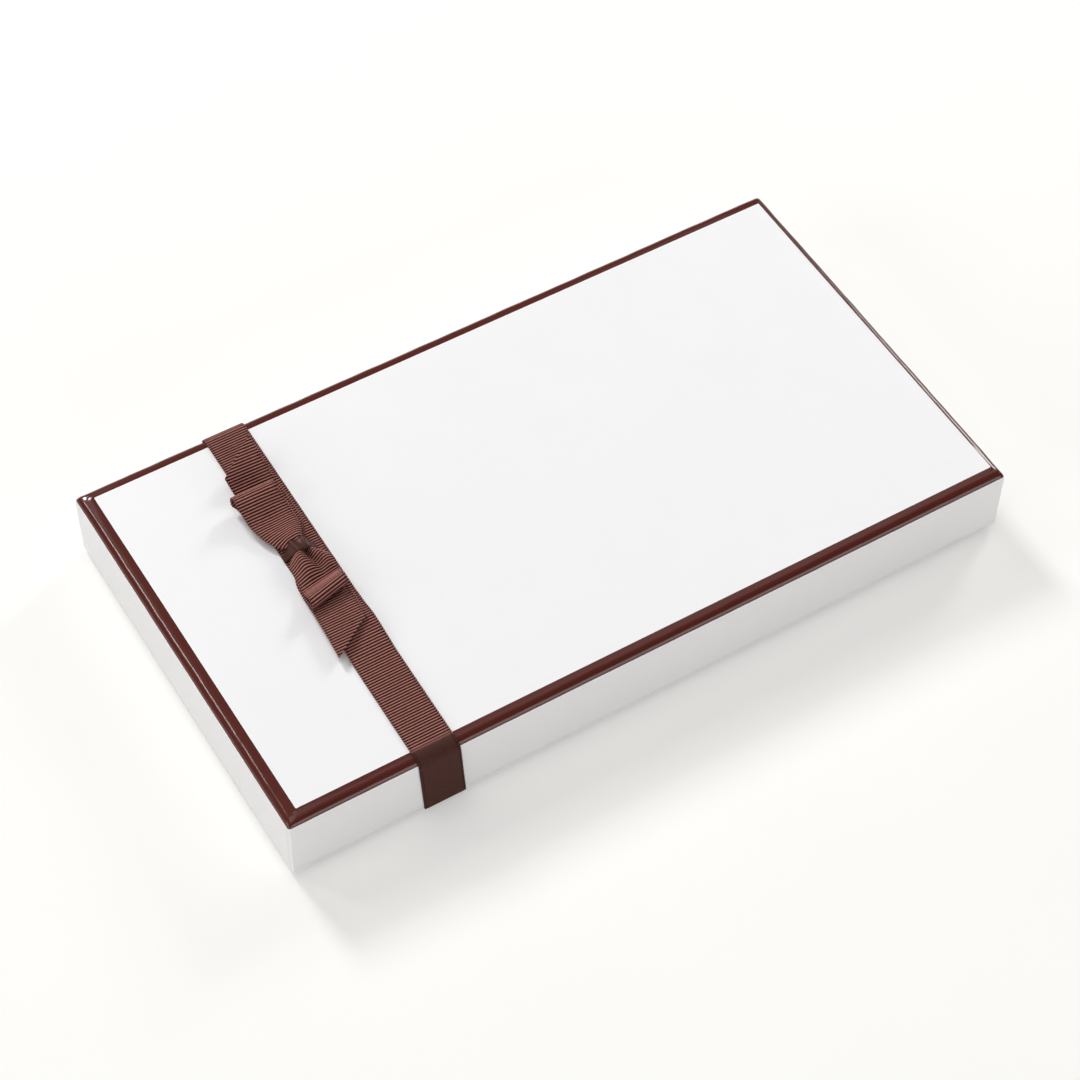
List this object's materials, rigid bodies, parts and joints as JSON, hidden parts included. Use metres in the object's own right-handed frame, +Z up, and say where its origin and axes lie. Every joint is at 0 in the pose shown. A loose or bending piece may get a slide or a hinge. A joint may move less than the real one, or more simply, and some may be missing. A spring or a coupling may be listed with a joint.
{
  "type": "chocolate box",
  "caption": "Flat chocolate box: lift-off lid with a printed border on its rolled edges, ribbed ribbon and bow round one end, base with a formed tray of moulded chocolates.",
  "frame": {"origin": "on the table, under the middle of the closed box", "axes": "+X along the long side, away from the ribbon; +Y to the back; +Z up, out of the lid"},
  "size_m": [0.22, 0.122, 0.0304],
  "materials": {
    "grey_board": "matte",
    "stay_tape": "matte",
    "printed_gloss_paper": "gloss",
    "gloss_paper": "gloss",
    "lining_paper": "matte",
    "grosgrain_ribbon": "satin",
    "satin_ribbon": "satin",
    "tray_plastic": "gloss",
    "dark_chocolate": "satin",
    "milk_chocolate": "satin",
    "white_chocolate": "satin"
  },
  "bodies": {
    "base": {"base_board": "grey_board", "base_corner_stays": "stay_tape", "base_wrap": "gloss_paper", "base_bottom_sheet": "gloss_paper", "base_lining": "lining_paper", "insert_tray": "tray_plastic", "chocolate_square_1": "dark_chocolate", "chocolate_square_2": "dark_chocolate", "chocolate_square_3": "dark_chocolate", "chocolate_dome_1": "milk_chocolate", "chocolate_dome_2": "milk_chocolate", "chocolate_dome_3": "milk_chocolate", "chocolate_heart_1": "white_chocolate", "chocolate_heart_2": "white_chocolate", "chocolate_heart_3": "white_chocolate", "chocolate_oval_1": "milk_chocolate", "chocolate_oval_2": "milk_chocolate", "chocolate_oval_3": "milk_chocolate", "chocolate_log_1": "dark_chocolate", "chocolate_log_2": "dark_chocolate", "chocolate_log_3": "dark_chocolate"},
    "lid": {"lid_board": "grey_board", "lid_corner_stays": "stay_tape", "lid_wrap": "printed_gloss_paper", "lid_lining": "lining_paper", "ribbon_band": "grosgrain_ribbon", "bow_loops": "grosgrain_ribbon", "bow_tails": "grosgrain_ribbon", "bow_knot_wrap": "satin_ribbon"}
  },
  "joints": [
    {"name": "lid_lift", "type": "slide", "parent": "base", "child": "lid", "axis": [0, 0, 1], "range_m": [0, 0.12]}
  ]
}
